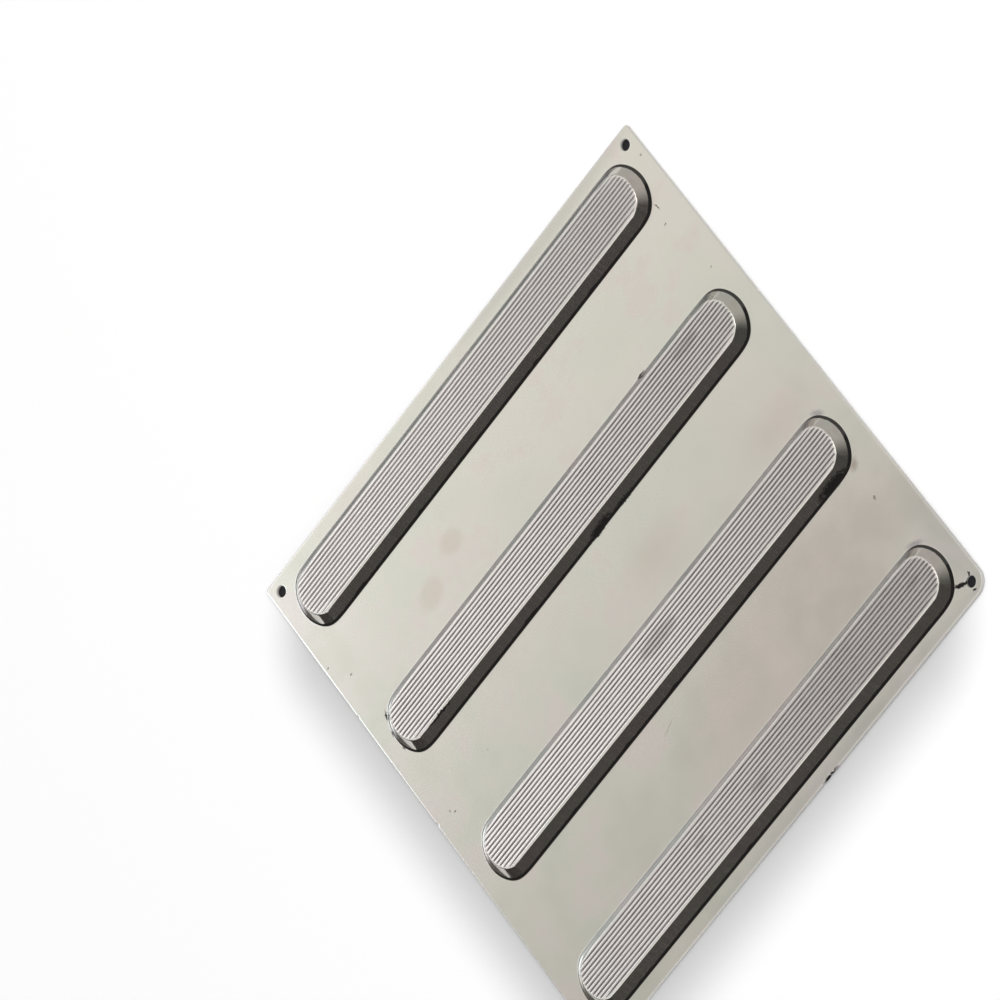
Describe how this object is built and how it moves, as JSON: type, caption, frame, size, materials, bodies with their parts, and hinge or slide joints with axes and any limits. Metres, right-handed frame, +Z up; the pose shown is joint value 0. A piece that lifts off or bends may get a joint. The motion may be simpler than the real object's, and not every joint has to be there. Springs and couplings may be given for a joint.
{
  "type": "tactile paving plate",
  "caption": "Square pressed stainless steel tactile guide plate with raised ribbed bars with rounded ends, and a plain fixing hole in each corner.",
  "frame": {"origin": "centre of the underside, on the plane that lies on the floor", "axes": "+X along the raised bars, +Y towards the edge that meets the next plate, +Z up out of the walked-on face"},
  "size_m": [0.3, 0.3, 0.0065],
  "materials": {
    "stainless": "satin stainless sheet"
  },
  "bodies": {
    "root": {"guide_plate": "stainless"}
  },
  "joints": []
}
